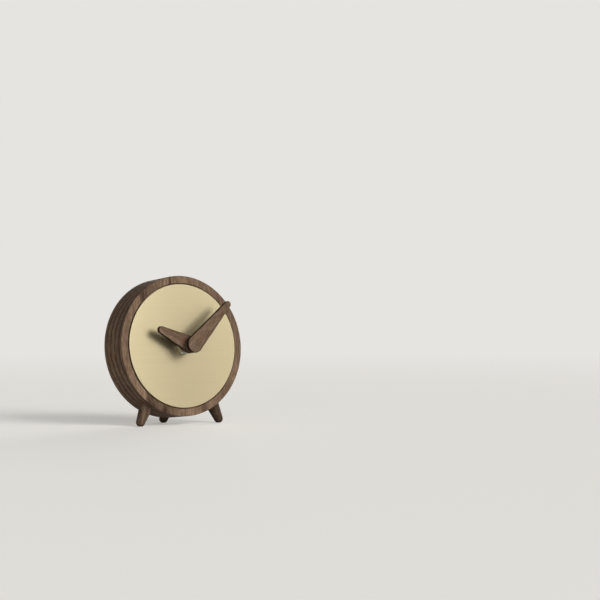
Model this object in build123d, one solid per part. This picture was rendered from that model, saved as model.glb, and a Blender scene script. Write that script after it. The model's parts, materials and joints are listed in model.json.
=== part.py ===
from build123d import *
import os
from math import asin, cos, degrees, radians, sin

# A small walnut desk clock on three pegs, with a brass dial, wooden hands and a quartz movement.
# Lengths are millimetres and angles are degrees.
# Each piece is first made upright: X to the right, Y backwards from the rim's front face, Z up,
# with the hands turning about the Y axis. The finished clock is then leaned back onto its pegs.

# Stance
lean_angle = 5.6
under_drum_height = 6.0

# Wooden drum
drum_radius = 50.0
rim_width = 5.35
rim_softening = 0.6
rim_inner_softening = 0.25
back_softening = 1.2
back_recess = 1.7
dial_seat_depth = 1.4
dial_gap = 0.75
web_thickness = 6.0
neck_hole_gap = 0.3
pocket_gap = 1.25
pocket_corner_radius = 5.0
pocket_chamfer = 0.6

# Pegs that the clock stands on
peg_root_radius = 4.6
peg_tip_radius = 3.2
peg_taper_length = 11.0
peg_foot_depth = 0.35
peg_tenon_radius = 2.5
peg_glue_gap = 0.05
front_peg_place_angle = 33.6
front_peg_angle = 24.5
front_peg_depth = 8.7
rear_peg_angle = 34.0
rear_peg_stand_out = 6.3

# How much of the wood between the drum's surface and the movement's pocket a peg's tenon takes
peg_tenon_share = 0.56

# Brass dial and the adhesive sheet behind it
dial_thickness = 2.0
dial_chamfer = 0.3
dial_hole_gap = 0.15
adhesive_thickness = 0.2
adhesive_inset = 1.0
adhesive_hole_gap = 3.0

# Wooden hands
hand_thickness = 2.6
hand_softening = 0.35
hand_hub_radius = 6.0
minute_hand_length = 42.8
minute_hand_tip_radius = 2.3
minute_hand_gap = 3.7
minute_hand_angle = 46.3
hour_hand_length = 28.0
hour_hand_tip_radius = 2.55
hour_hand_gap = 3.5
hour_hand_angle = -64.8

# Metal collets that hold the hands on their arbors
minute_collet_radius = 3.0
minute_collet_depth = 1.6
minute_collet_length = 3.0
hour_collet_radius = 3.6
hour_collet_depth = 2.3
hour_collet_length = 4.2
hour_collet_flange_radius = 4.8
hour_collet_flange_thickness = 0.8

# Threaded neck of the movement, its washer and its nut
neck_radius = 4.0
neck_stand_out = 0.7
neck_groove_pitch = 0.75
neck_groove_depth = 0.35
nut_gap = 0.03
nut_sides = 6
nut_flat_width = 11.0
nut_height = 2.6
nut_chamfer = 0.5
washer_margin = 0.05
washer_thickness = 0.5
gasket_radius = 10.0
gasket_thickness = 0.6

# Arbors and running gaps
running_gap = 0.05
clutch_gap = 0.02
pivot_gap = 0.03
pivot_radius = 0.3
train_arbor_radius = 0.5
minute_arbor_radius = 1.75
minute_arbor_end_radius = 0.8
minute_arbor_inset = 0.6
hour_pipe_radius = 2.5
hour_pipe_inset = 1.2
setting_arbor_radius = 1.0
setting_pivot_radius = 0.5

# Movement housing
movement_corner_radius = 3.0
housing_front_thickness = 1.4
housing_wall = 1.4
housing_post_radius = 1.8
housing_post_inset = 3.4
finger_notch_width = 16.0
finger_notch_depth = 5.0
cover_thickness = 1.0
cover_softening = 0.4
cover_lip_depth = 1.0
cover_lip_width = 0.9
cover_lip_gap = 0.1
cover_clip_width = 6.0
cover_clip_thickness = 0.8
cover_clip_length = 4.0
cover_clip_notch_gap = 0.2
bearing_boss_radius = 1.3
bearing_boss_gap = 0.4
bearing_boss_length = 2.3
bearing_cap_thickness = 0.5
middle_plate_thickness = 1.0
middle_plate_gap = 0.25
stator_post_radius = 1.4
through_hole_gap = 0.35
train_floor_gap = 2.2

# Wheels: teeth are counts, modules are the pitch diameter per tooth
wheel_thickness = 0.8
pinion_overlap = 0.1
layer_gap = 0.3
mesh_slack = 0.04
rotor_pinion_teeth = 8
intermediate_wheel_teeth = 40
intermediate_pinion_teeth = 10
second_wheel_teeth = 60
second_pinion_teeth = 8
third_wheel_teeth = 64
third_pinion_teeth = 8
centre_wheel_teeth = 60
cannon_pinion_teeth = 16
setting_wheel_teeth = 48
setting_pinion_teeth = 12
hour_wheel_teeth = 48
rotor_module = 0.16
second_module = 0.2
third_module = 0.2
centre_module = 0.25
cannon_module = 0.3
setting_place_angle = 140.0
third_place_angle = 20.0
second_place_angle = 100.0
intermediate_place_angle = 150.0
rotor_place_angle = 170.0

# One tooth: radius from the pitch circle in modules, half width in tooth spacings
tooth_outline_shares = ((-1.15, -0.26), (0, -0.20), (0.8, -0.09), (0.8, 0.09), (0, 0.20), (-1.15, 0.26))

# Friction spring between the cannon pinion and the centre wheel
clutch_spring_radius = 3.2
clutch_spring_thickness = 0.25

# Motor
rotor_magnet_radius = 2.0
rotor_magnet_thickness = 1.6
rotor_collar_gap = 0.3
stator_gap = 0.4
stator_thickness = 0.7
stator_bar_width = 5.0
stator_arm_width = 3.6
stator_half_length = 14.5
stator_notch_radius = 0.35
coil_stator_gap = 3.25
coil_wall_gap = 1.8
core_width = 2.6
core_thickness = 0.8
bobbin_end_gap = 0.6
bobbin_fit = 0.08
bobbin_wall = 0.5
bobbin_flange_thickness = 0.7
bobbin_width = 4.8
bobbin_height = 4.6
winding_inset = 0.35

# Circuit board
board_thickness = 0.8
board_gap = 0.4
board_arbor_gap = 2.8
board_post_gap = 2.05
board_strip_height = 3.4
chip_radius = 2.6
chip_height = 1.0
crystal_radius = 1.0
crystal_length = 6.0
crystal_seat_gap = 0.05

# Battery, size AA, and its contacts
cell_radius = 7.25
cell_length = 50.5
cell_gap = 0.25
cell_softening = 0.6
cap_radius = 6.0
cap_thickness = 0.3
cap_button_radius = 2.75
cap_button_height = 1.2
base_disc_radius = 5.2
base_disc_thickness = 0.3
contact_thickness = 0.4
contact_width = 9.0
contact_height = 8.0
contact_gap = 0.1
contact_tail_width = 3.0
contact_slot_gap = 0.2
spring_thickness = 0.35
spring_height = 7.0
spring_room = 2.2

# Set knob
knob_radius = 4.6
knob_height = 1.5
knob_gap = 0.15
knob_ribs = 18
knob_rib_radius = 0.45
knob_slot_width = 1.0
knob_slot_depth = 0.5

# How far a cutting solid runs past what it cuts
overrun = 2.0

# Depths along the Y axis, from the front to the back
dial_front = dial_seat_depth - adhesive_thickness - dial_thickness
web_back = dial_seat_depth + web_thickness
movement_front = web_back + gasket_thickness
nut_back = dial_front - washer_thickness
nut_front = nut_back - nut_height
neck_front = nut_front - neck_stand_out
hour_hand_back = neck_front - hour_hand_gap
hour_hand_front = hour_hand_back - hand_thickness
hour_pipe_front = hour_hand_front + hour_pipe_inset
minute_hand_back = hour_hand_front - minute_hand_gap
minute_hand_front = minute_hand_back - hand_thickness
minute_pocket_front = minute_hand_back - minute_collet_depth
minute_arbor_front = minute_pocket_front + minute_arbor_inset
hour_wheel_front = movement_front + housing_front_thickness + layer_gap
hour_wheel_back = hour_wheel_front + wheel_thickness
setting_wheel_front = hour_wheel_back + layer_gap
setting_wheel_back = setting_wheel_front + wheel_thickness
cannon_pinion_front = setting_wheel_front - pinion_overlap
cannon_pinion_back = setting_wheel_back + pinion_overlap
clutch_spring_back = cannon_pinion_back + clutch_spring_thickness
centre_wheel_front = clutch_spring_back + running_gap
centre_wheel_back = centre_wheel_front + wheel_thickness
middle_plate_front = centre_wheel_back + layer_gap
middle_plate_back = middle_plate_front + middle_plate_thickness
third_wheel_front = middle_plate_back + layer_gap
third_wheel_back = third_wheel_front + wheel_thickness
second_wheel_front = third_wheel_back + layer_gap
second_wheel_back = second_wheel_front + wheel_thickness
intermediate_wheel_front = second_wheel_back + layer_gap
intermediate_wheel_back = intermediate_wheel_front + wheel_thickness
rotor_magnet_front = intermediate_wheel_back + rotor_collar_gap
rotor_magnet_back = rotor_magnet_front + rotor_magnet_thickness
stator_front = (rotor_magnet_front + rotor_magnet_back - stator_thickness) / 2
stator_back = stator_front + stator_thickness
core_back = stator_back + core_thickness
coil_depth = (stator_back + core_back) / 2
boss_front = rotor_magnet_back + bearing_boss_gap
cover_front = boss_front + bearing_boss_length
pivot_back = cover_front - bearing_cap_thickness
movement_back = cover_front + cover_thickness
drum_depth = movement_back + back_recess
rear_peg_depth = drum_depth + rear_peg_stand_out
board_back = middle_plate_back + board_thickness
knob_front = movement_back + knob_gap
knob_back = knob_front + knob_height
setting_arbor_back = knob_front + knob_height / 2


def mesh_distance(first_teeth, second_teeth, module):
    """Distance between the arbors of two toothed wheels in mesh."""
    return (first_teeth + second_teeth) * module / 2 + mesh_slack


def step_from(place, direction, distance):
    """A place at a distance from another, in a direction turned up from the right."""
    angle = radians(direction)
    return (place[0] + distance * cos(angle), place[1] + distance * sin(angle))


# Places of the wheels seen from the front, X to the right and Z up
setting_distance = mesh_distance(cannon_pinion_teeth, setting_wheel_teeth, cannon_module)
setting_pair_teeth = setting_pinion_teeth + hour_wheel_teeth
hour_module = (setting_distance - mesh_slack) * 2 / setting_pair_teeth
centre_place = (0, 0)
setting_place = step_from(centre_place, setting_place_angle, setting_distance)
third_distance = mesh_distance(third_pinion_teeth, centre_wheel_teeth, centre_module)
third_place = step_from(centre_place, third_place_angle, third_distance)
second_distance = mesh_distance(second_pinion_teeth, third_wheel_teeth, third_module)
second_place = step_from(third_place, second_place_angle, second_distance)
intermediate_distance = mesh_distance(intermediate_pinion_teeth, second_wheel_teeth, second_module)
intermediate_place = step_from(second_place, intermediate_place_angle, intermediate_distance)
rotor_distance = mesh_distance(rotor_pinion_teeth, intermediate_wheel_teeth, rotor_module)
rotor_place = step_from(intermediate_place, rotor_place_angle, rotor_distance)

# Sides of what stands round the wheels, seen from the front
stator_left = rotor_place[0] - stator_half_length
stator_right = rotor_place[0] + stator_half_length
coil_left = stator_left + stator_arm_width + bobbin_end_gap
coil_right = stator_right - stator_arm_width - bobbin_end_gap
coil_rise = rotor_place[1] + (stator_bar_width + bobbin_width) / 2 + coil_stator_gap
inner_top = coil_rise + bobbin_width / 2 + coil_wall_gap
movement_top = inner_top + housing_wall
train_bottom = -(hour_wheel_teeth / 2 + 1) * hour_module - train_floor_gap
bay_top = train_bottom - housing_wall
cell_rise = bay_top - cell_gap - cell_radius
bay_bottom = cell_rise - cell_radius - cell_gap
movement_bottom = bay_bottom - housing_wall
cell_depth = movement_front + housing_front_thickness + cell_gap + cell_radius
inner_half_width = (cell_length + contact_thickness + contact_gap + spring_room) / 2
cell_right = inner_half_width - contact_thickness - contact_gap
cell_left = cell_right - cell_length
movement_half_width = inner_half_width + housing_wall
board_left = -inner_half_width + board_gap
board_right = setting_place[0] - setting_arbor_radius - board_arbor_gap
board_bottom = train_bottom + board_gap
board_top = rotor_place[1] - stator_post_radius - board_post_gap

# The case round all of that
pocket_bottom = movement_bottom - pocket_gap
dial_radius = drum_radius - rim_width - dial_gap
face_height = drum_radius + under_drum_height
nut_corner_radius = nut_flat_width / 2 / cos(radians(180 / nut_sides))


def slab(outline, front, back):
    """An outline seen from the front, made solid from one depth to another."""
    face_plane = Plane(origin=(0, front, 0), x_dir=(1, 0, 0), z_dir=(0, -1, 0))
    return extrude(face_plane * outline, amount=front - back)


def rod(radius, front, back, place=centre_place):
    """A round rod along the depth."""
    return slab(Pos(*place) * Circle(radius), front, back)


def ring(outer_radius, inner_radius, front, back, place=centre_place):
    """A flat ring or a tube along the depth."""
    return slab(Pos(*place) * (Circle(outer_radius) - Circle(inner_radius)), front, back)


def block(left, right, bottom, top, front, back):
    """A rectangular block given by its sides."""
    outline = Pos((left + right) / 2, (bottom + top) / 2) * Rectangle(right - left, top - bottom)
    return slab(outline, front, back)


def movement_outline(gap, corner_radius):
    """The movement's rounded outline seen from the front, grown by a gap."""
    width = 2 * (movement_half_width + gap)
    height = movement_top - movement_bottom + 2 * gap
    middle = (movement_top + movement_bottom) / 2
    return Pos(0, middle) * RectangleRounded(width, height, corner_radius)


def front_edges(solid):
    """The edges of a solid's foremost face."""
    return solid.faces().sort_by(Axis.Y)[0].edges()


def back_edges(solid):
    """The edges of a solid's rearmost face."""
    return solid.faces().sort_by(Axis.Y)[-1].edges()


def mouth_edges(face):
    """The edges of the opening in a face that has one."""
    return face.inner_wires()[0].edges()


# The wooden case

def drum_blank():
    """The drum as turned, before anything is cut into it."""
    blank = rod(drum_radius, 0, drum_depth)
    blank = fillet(front_edges(blank), rim_softening)
    return fillet(back_edges(blank), back_softening)


def case_drum():
    """One turned block with the dial's seat in front and the movement's pocket behind."""
    drum = drum_blank() - rod(drum_radius - rim_width, -overrun, dial_seat_depth)
    drum = chamfer(mouth_edges(drum.faces().sort_by(Axis.Y)[0]), rim_inner_softening)
    drum -= rod(neck_radius + neck_hole_gap, 0, drum_depth)
    pocket_outline = movement_outline(pocket_gap, pocket_corner_radius)
    drum -= slab(pocket_outline, web_back, drum_depth + overrun)
    drum = chamfer(mouth_edges(drum.faces().sort_by(Axis.Y)[-1]), pocket_chamfer)
    for line in peg_lines():
        drum -= peg_tenon(line, peg_tenon_radius + peg_glue_gap)
    return drum


# The pegs

def tip_drop(depth):
    """How far below the hands' axis a peg's round tip is centred, at a given depth."""
    rise = peg_tip_radius - peg_foot_depth
    return (face_height - rise - depth * sin(radians(lean_angle))) / cos(radians(lean_angle))


def front_peg_line(side):
    """Tip, root and direction of a front peg, on the left (-1) or the right (1)."""
    root_turn = radians(front_peg_place_angle)
    root = Vector(side * drum_radius * sin(root_turn), front_peg_depth, -drum_radius * cos(root_turn))
    inward = Vector(-side * sin(radians(front_peg_angle)), 0, cos(radians(front_peg_angle)))
    length = (root.Z + tip_drop(front_peg_depth)) / inward.Z
    return (root - inward * length, root, inward)


def rear_peg_line():
    """Tip, root and direction of the rear peg, which slants into the back of the drum."""
    tip = Vector(0, rear_peg_depth, -tip_drop(rear_peg_depth))
    inward = Vector(0, -sin(radians(rear_peg_angle)), cos(radians(rear_peg_angle)))
    length = (rear_peg_depth - drum_depth) / sin(radians(rear_peg_angle))
    return (tip, tip + inward * length, inward)


def peg_lines():
    return (front_peg_line(-1), front_peg_line(1), rear_peg_line())


def peg_tenon(line, radius):
    """The round tenon that goes from inside a peg, past its root, into the drum."""
    tip, root, inward = line
    wood_depth = (pocket_bottom - root.Z) / inward.Z
    start = Plane(origin=root - inward * peg_root_radius, z_dir=inward)
    return extrude(start * Circle(radius), amount=peg_root_radius + wood_depth * peg_tenon_share)


def peg_cone(line):
    """The tapered body of a peg with its rounded tip, long enough to reach into the drum."""
    tip, root, inward = line
    taper = asin((peg_root_radius - peg_tip_radius) / peg_taper_length)
    length = (root - tip).length + 3 * peg_root_radius
    top_radius = peg_tip_radius / cos(taper) + length * sin(taper) / cos(taper)
    with BuildSketch(Plane.XZ) as half_section:
        with BuildLine():
            tip_arc = JernArc((0, -peg_tip_radius), (1, 0), peg_tip_radius, 90 - degrees(taper))
            Polyline(tip_arc @ 1, (top_radius, length), (0, length), (0, -peg_tip_radius))
        make_face()
    body = revolve(half_section.sketch, Axis.Z)
    return Plane(origin=tip, z_dir=inward) * body


def peg(line):
    """A peg whose root is fitted to the drum's surface, with its tenon."""
    return peg_cone(line) - drum_blank() + peg_tenon(line, peg_tenon_radius)


def front_leg_left():
    return peg(front_peg_line(-1))


def front_leg_right():
    return peg(front_peg_line(1))


def rear_leg():
    return peg(rear_peg_line())


# The dial

def dial_plate():
    plate = ring(dial_radius, neck_radius + dial_hole_gap, dial_front, dial_front + dial_thickness)
    rim_edge = front_edges(plate).sort_by(SortBy.RADIUS)[-1]
    return chamfer(rim_edge, dial_chamfer)


def dial_adhesive():
    sheet_front = dial_front + dial_thickness
    return ring(dial_radius - adhesive_inset, neck_radius + adhesive_hole_gap, sheet_front, dial_seat_depth)


# The hands and what holds them

def hand_blank(length, tip_radius, front):
    """A tapering wooden hand that points straight up."""
    tip = Pos(0, length - tip_radius) * Circle(tip_radius)
    outline = make_hull(Circle(hand_hub_radius).edges() + tip.edges())
    blank = slab(outline, front, front + hand_thickness)
    softened = front_edges(blank) + back_edges(blank)
    return fillet(softened, hand_softening)


def turned_hand(hand, angle):
    """A hand turned clockwise, seen from the front."""
    return Rot(0, angle, 0) * hand


def minute_hand():
    blank = hand_blank(minute_hand_length, minute_hand_tip_radius, minute_hand_front)
    pocket = rod(minute_collet_radius, minute_pocket_front, minute_hand_back + overrun)
    return turned_hand(blank - pocket, minute_hand_angle)


def hour_hand():
    blank = hand_blank(hour_hand_length, hour_hand_tip_radius, hour_hand_front)
    hole = rod(hour_collet_radius, hour_hand_back - hour_collet_depth, hour_hand_back + overrun)
    clearance = rod(minute_collet_radius, hour_hand_front - overrun, hour_hand_back)
    return turned_hand(blank - hole - clearance, hour_hand_angle)


def minute_hand_collet():
    back = minute_pocket_front + minute_collet_length
    body = rod(minute_collet_radius, minute_pocket_front, back)
    return body - rod(minute_arbor_radius, minute_arbor_front, back + overrun)


def hour_hand_collet():
    front = hour_hand_back - hour_collet_depth
    body = rod(hour_collet_radius, front, front + hour_collet_length)
    flange_back = hour_hand_back + hour_collet_flange_thickness
    body += rod(hour_collet_flange_radius, hour_hand_back, flange_back)
    return body - rod(hour_pipe_radius, front - overrun, front + hour_collet_length + overrun)


def centre_nut():
    """Hexagonal nut on the threaded neck, with its front corners turned off."""
    hexagon = RegularPolygon(nut_flat_width / 2, nut_sides, major_radius=False)
    body = slab(hexagon, nut_front, nut_back)
    crown = rod(nut_corner_radius, nut_front, nut_back)
    crown = chamfer(front_edges(crown), nut_chamfer)
    return (body & crown) - rod(neck_radius + nut_gap, nut_front - overrun, nut_back + overrun)


def nut_washer():
    return ring(nut_corner_radius + washer_margin, neck_radius + nut_gap, nut_back, dial_front)


def movement_gasket():
    return ring(gasket_radius, neck_radius + neck_hole_gap, web_back, movement_front)


# Toothed wheels

def tooth_ring(teeth, module, first_angle):
    """The outline of a toothed wheel, seen from the front."""
    spacing = 360 / teeth
    points = []
    for tooth in range(teeth):
        for rise_share, width_share in tooth_outline_shares:
            radius = teeth * module / 2 + rise_share * module
            angle = radians(first_angle + (tooth + width_share) * spacing)
            points.append((radius * cos(angle), radius * sin(angle)))
    return make_face(Polyline(*points, close=True))


def toothed(teeth, module, tooth_angle, place, front, back):
    """A toothed disc with one tooth centred on the given angle."""
    return slab(Pos(*place) * tooth_ring(teeth, module, tooth_angle), front, back)


def gap_angle(direction, teeth):
    """The angle of a tooth beside the gap that faces back along a direction."""
    return direction + 180 + 180 / teeth


def train_arbor(place, front, back, pivot_front, pivot_end):
    """A slim arbor with a finer pivot at each end."""
    return rod(train_arbor_radius, front, back, place) + rod(pivot_radius, pivot_front, pivot_end, place)


def minute_arbor():
    """Arbor of the minute hand with the cannon pinion cut on it."""
    arbor = rod(minute_arbor_radius, minute_arbor_front, centre_wheel_back + layer_gap / 2)
    arbor += rod(minute_arbor_end_radius, centre_wheel_back, middle_plate_back)
    return arbor + toothed(
        cannon_pinion_teeth, cannon_module, setting_place_angle, centre_place,
        cannon_pinion_front, cannon_pinion_back)


def clutch_spring():
    return ring(clutch_spring_radius, minute_arbor_radius, cannon_pinion_back, clutch_spring_back)


def centre_wheel():
    wheel = toothed(
        centre_wheel_teeth, centre_module, third_place_angle, centre_place,
        centre_wheel_front, centre_wheel_back)
    bore_radius = minute_arbor_radius + clutch_gap
    return wheel - rod(bore_radius, centre_wheel_front - overrun, centre_wheel_back + overrun)


def hour_wheel():
    """Hour wheel with its long pipe, which runs inside the neck and carries the hour hand."""
    first_angle = gap_angle(setting_place_angle + 180, hour_wheel_teeth)
    wheel = toothed(
        hour_wheel_teeth, hour_module, first_angle, centre_place, hour_wheel_front, hour_wheel_back)
    wheel += rod(hour_pipe_radius, hour_pipe_front, hour_wheel_back)
    bore_radius = minute_arbor_radius + running_gap
    return wheel - rod(bore_radius, hour_pipe_front - overrun, hour_wheel_back + overrun)


def setting_wheel():
    """Wheel and pinion between the minute arbor and the hour wheel, on the set knob's arbor."""
    first_angle = gap_angle(setting_place_angle, setting_wheel_teeth)
    wheel = toothed(
        setting_wheel_teeth, cannon_module, first_angle, setting_place,
        setting_wheel_front, setting_wheel_back)
    wheel += toothed(
        setting_pinion_teeth, hour_module, setting_place_angle + 180, setting_place,
        hour_wheel_front - pinion_overlap, setting_wheel_front)
    wheel += rod(setting_arbor_radius, setting_wheel_back, setting_arbor_back, setting_place)
    pivot_front = movement_front + housing_front_thickness / 2
    return wheel + rod(setting_pivot_radius, pivot_front, hour_wheel_front, setting_place)


def third_wheel():
    """Third wheel, behind the middle plate, with its pinion in front of it."""
    wheel = toothed(
        third_wheel_teeth, third_module, second_place_angle, third_place,
        third_wheel_front, third_wheel_back)
    pinion_angle = gap_angle(third_place_angle, third_pinion_teeth)
    wheel += toothed(
        third_pinion_teeth, centre_module, pinion_angle, third_place,
        centre_wheel_front - pinion_overlap, centre_wheel_back + pinion_overlap)
    wheel += rod(pivot_radius, movement_front + housing_front_thickness / 2, pivot_back, third_place)
    return wheel + rod(train_arbor_radius, centre_wheel_back, boss_front - layer_gap, third_place)


def second_wheel():
    wheel = toothed(
        second_wheel_teeth, second_module, intermediate_place_angle, second_place,
        second_wheel_front, second_wheel_back)
    pinion_angle = gap_angle(second_place_angle, second_pinion_teeth)
    wheel += toothed(
        second_pinion_teeth, third_module, pinion_angle, second_place,
        third_wheel_front - pinion_overlap, second_wheel_front)
    return wheel + train_arbor(
        second_place, second_wheel_back, boss_front - layer_gap, middle_plate_front, pivot_back)


def intermediate_wheel():
    wheel = toothed(
        intermediate_wheel_teeth, rotor_module, rotor_place_angle, intermediate_place,
        intermediate_wheel_front, intermediate_wheel_back)
    pinion_angle = gap_angle(intermediate_place_angle, intermediate_pinion_teeth)
    wheel += toothed(
        intermediate_pinion_teeth, second_module, pinion_angle, intermediate_place,
        second_wheel_front - pinion_overlap, intermediate_wheel_front)
    return wheel + train_arbor(
        intermediate_place, middle_plate_back + layer_gap, boss_front - layer_gap,
        middle_plate_front, pivot_back)


# The stepping motor

def rotor_pinion():
    pinion = toothed(
        rotor_pinion_teeth, rotor_module, gap_angle(rotor_place_angle, rotor_pinion_teeth), rotor_place,
        intermediate_wheel_front - pinion_overlap, intermediate_wheel_back + pinion_overlap)
    return pinion + rod(pivot_radius, middle_plate_front, pivot_back, rotor_place)


def rotor_magnet():
    return ring(rotor_magnet_radius, pivot_radius, rotor_magnet_front, rotor_magnet_back, rotor_place)


def stator_core():
    """Flat stator plate round the rotor, with the core bar that runs through the coil."""
    bottom = rotor_place[1] - stator_bar_width / 2
    top = rotor_place[1] + stator_bar_width / 2
    arm_top = coil_rise + core_width / 2
    plate = block(stator_left, stator_right, bottom, top, stator_front, stator_back)
    for arm_left in (stator_left, stator_right - stator_arm_width):
        plate += block(arm_left, arm_left + stator_arm_width, bottom, arm_top, stator_front, stator_back)
    plate += block(stator_left, stator_right, coil_rise - core_width / 2, arm_top, stator_back, core_back)
    plate -= rod(rotor_magnet_radius + stator_gap, stator_front - overrun, core_back, rotor_place)
    for side in (-1, 1):
        notch = step_from(rotor_place, side * 90, rotor_magnet_radius + stator_gap)
        plate -= rod(stator_notch_radius, stator_front - overrun, core_back, notch)
    hole_radius = train_arbor_radius + through_hole_gap
    return plate - rod(hole_radius, stator_front - overrun, core_back, intermediate_place)


def coil_slice(left, right, width, height):
    """A rectangular length of the coil, round the middle of its core."""
    bottom = coil_rise - width / 2
    front = coil_depth - height / 2
    return block(left, right, bottom, bottom + width, front, front + height)


def coil_bobbin():
    """Plastic bobbin with a square flange at each end of its thin tube."""
    bore_width = core_width + 2 * bobbin_fit
    bore_height = core_thickness + stator_thickness + 2 * bobbin_fit
    tube_width = bore_width + 2 * bobbin_wall
    tube_height = bore_height + 2 * bobbin_wall
    bobbin = coil_slice(coil_left, coil_right, tube_width, tube_height)
    for left in (coil_left, coil_right - bobbin_flange_thickness):
        bobbin += coil_slice(left, left + bobbin_flange_thickness, bobbin_width, bobbin_height)
    return bobbin - coil_slice(coil_left - overrun, coil_right + overrun, bore_width, bore_height)


def coil_winding():
    """The turns of fine copper wire, as one sleeve between the flanges."""
    left = coil_left + bobbin_flange_thickness
    right = coil_right - bobbin_flange_thickness
    inner_width = core_width + 2 * bobbin_fit + 2 * bobbin_wall
    inner_height = core_thickness + stator_thickness + 2 * bobbin_fit + 2 * bobbin_wall
    outer_width = bobbin_width - 2 * winding_inset
    outer_height = bobbin_height - 2 * winding_inset
    sleeve = coil_slice(left, right, outer_width, outer_height)
    return sleeve - coil_slice(left, right, inner_width, inner_height)


# The movement's housing

def threaded_neck():
    """Neck with the ridges of its thread, bored for the hour pipe."""
    neck = rod(neck_radius, neck_front, movement_front)
    neck = chamfer(front_edges(neck), neck_groove_depth)
    grooves = int((movement_front - neck_front) / neck_groove_pitch) - 1
    for groove in range(1, grooves):
        front = neck_front + groove * neck_groove_pitch
        back = front + neck_groove_pitch / 2
        neck -= ring(neck_radius + overrun, neck_radius - neck_groove_depth, front, back)
    return neck


def post_places():
    """Where the four posts stand that carry the middle plate."""
    side = movement_half_width - housing_post_inset
    top = movement_top - housing_post_inset
    bottom = train_bottom + housing_post_radius
    return ((-side, top), (side, top), (-side, bottom), (side, bottom))


def at_side(side, outer, thickness):
    """Left and right of what lies inside a side wall's face, on the left (-1) or the right (1)."""
    return sorted((side * outer, side * (outer - thickness)))


def clip_block(side, gap):
    """One spring clip of the cover on a side wall, or with a gap the notch that it lies in."""
    half_width = cover_clip_width / 2 + gap
    left, right = at_side(side, movement_half_width, cover_clip_thickness)
    front = cover_front - cover_clip_length - gap
    return block(left, right, coil_rise / 2 - half_width, coil_rise / 2 + half_width, front, cover_front)


def movement_base():
    """Front shell of the movement: neck, gear chamber and battery bay in one moulding."""
    floor = movement_front + housing_front_thickness
    base = slab(movement_outline(0, movement_corner_radius), movement_front, cover_front)
    for bottom, top in ((train_bottom, inner_top), (bay_bottom, bay_top)):
        base -= block(-inner_half_width, inner_half_width, bottom, top, floor, movement_back)
    for place in post_places():
        base += rod(housing_post_radius, floor, middle_plate_front, place)
    base += threaded_neck()
    base -= rod(hour_pipe_radius + running_gap, neck_front - overrun, floor)
    pivot_floor = movement_front + housing_front_thickness / 3
    base -= rod(pivot_radius + pivot_gap, pivot_floor, floor, third_place)
    base -= rod(setting_pivot_radius + running_gap, pivot_floor, floor, setting_place)
    slot_width = contact_thickness + contact_slot_gap
    slot_front = board_back - contact_slot_gap
    for left in (-inner_half_width, inner_half_width - slot_width):
        base -= block(left, left + slot_width, bay_top, train_bottom, slot_front, cover_front)
    for side in (-1, 1):
        base -= clip_block(side, cover_clip_notch_gap)
    notch_front = cover_front - finger_notch_depth
    half_notch = finger_notch_width / 2
    return base - block(
        -half_notch, half_notch, movement_bottom, bay_bottom, notch_front, cover_front)


def middle_plate():
    """Plate that carries the arbors, the circuit board and the stator's posts."""
    side = inner_half_width - middle_plate_gap
    bottom = train_bottom + middle_plate_gap
    top = inner_top - middle_plate_gap
    plate = block(-side, side, bottom, top, middle_plate_front, middle_plate_back)
    arm_middle = stator_arm_width / 2
    left_post, right_post = stator_left + arm_middle, stator_right - arm_middle
    for place in ((left_post, coil_rise), (right_post, coil_rise), (left_post, rotor_place[1])):
        plate += rod(stator_post_radius, middle_plate_back, stator_front, place)
    third_pinion_radius = (third_pinion_teeth / 2 + 1) * centre_module
    holes = (
        (minute_arbor_end_radius + running_gap, centre_place),
        (setting_arbor_radius + running_gap, setting_place),
        (third_pinion_radius + through_hole_gap, third_place),
        (pivot_radius + pivot_gap, second_place),
        (pivot_radius + pivot_gap, intermediate_place),
        (pivot_radius + pivot_gap, rotor_place))
    for radius, place in holes:
        plate -= rod(radius, middle_plate_front - overrun, middle_plate_back + overrun, place)
    return plate


def cover_lip():
    """Rim inside the cover that centres it between the housing's walls."""
    side = inner_half_width - cover_lip_gap
    bottom = train_bottom + cover_lip_gap
    top = inner_top - cover_lip_gap
    front = cover_front - cover_lip_depth
    lip = block(-side, side, bottom, top, front, cover_front)
    return lip - block(
        cover_lip_width - side, side - cover_lip_width,
        bottom + cover_lip_width, top - cover_lip_width, front, cover_front)


def movement_cover():
    """Rear cover over the wheels, with a bearing boss for each rear pivot."""
    cover = slab(movement_outline(0, movement_corner_radius), cover_front, movement_back)
    cover &= block(
        -movement_half_width, movement_half_width, bay_top, movement_top, cover_front, movement_back)
    cover = fillet(back_edges(cover), cover_softening)
    cover += cover_lip()
    for side in (-1, 1):
        cover += clip_block(side, 0)
    for place in (rotor_place, intermediate_place, second_place, third_place):
        cover += rod(bearing_boss_radius, boss_front, cover_front, place)
        hole_back = (pivot_back + cover_front) / 2
        cover -= rod(pivot_radius + pivot_gap, boss_front - overrun, hole_back, place)
    hole_radius = setting_arbor_radius + running_gap
    return cover - rod(hole_radius, cover_front - overrun, movement_back + overrun, setting_place)


# The circuit

def circuit_board():
    """Board beside the wheels, with a strip under them that reaches both contacts."""
    board = block(board_left, board_right, board_bottom, board_top, middle_plate_back, board_back)
    return board + block(
        board_left, -board_left, board_bottom, board_bottom + board_strip_height,
        middle_plate_back, board_back)


def circuit_chip():
    """Rounded drop of black resin over the timing chip."""
    place = ((board_left + board_right) / 2, (board_bottom + board_top) / 2)
    chip = rod(chip_radius, board_back, board_back + chip_height, place)
    return fillet(back_edges(chip), chip_height / 2)


def quartz_crystal():
    """Small metal can of the quartz crystal, lying on the board."""
    left = (board_left + board_right - crystal_length) / 2
    rise = board_top - 2 * crystal_radius
    start = Plane(origin=(left, board_back + crystal_seat_gap + crystal_radius, rise), z_dir=(1, 0, 0))
    return extrude(start * Circle(crystal_radius), amount=crystal_length)


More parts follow.
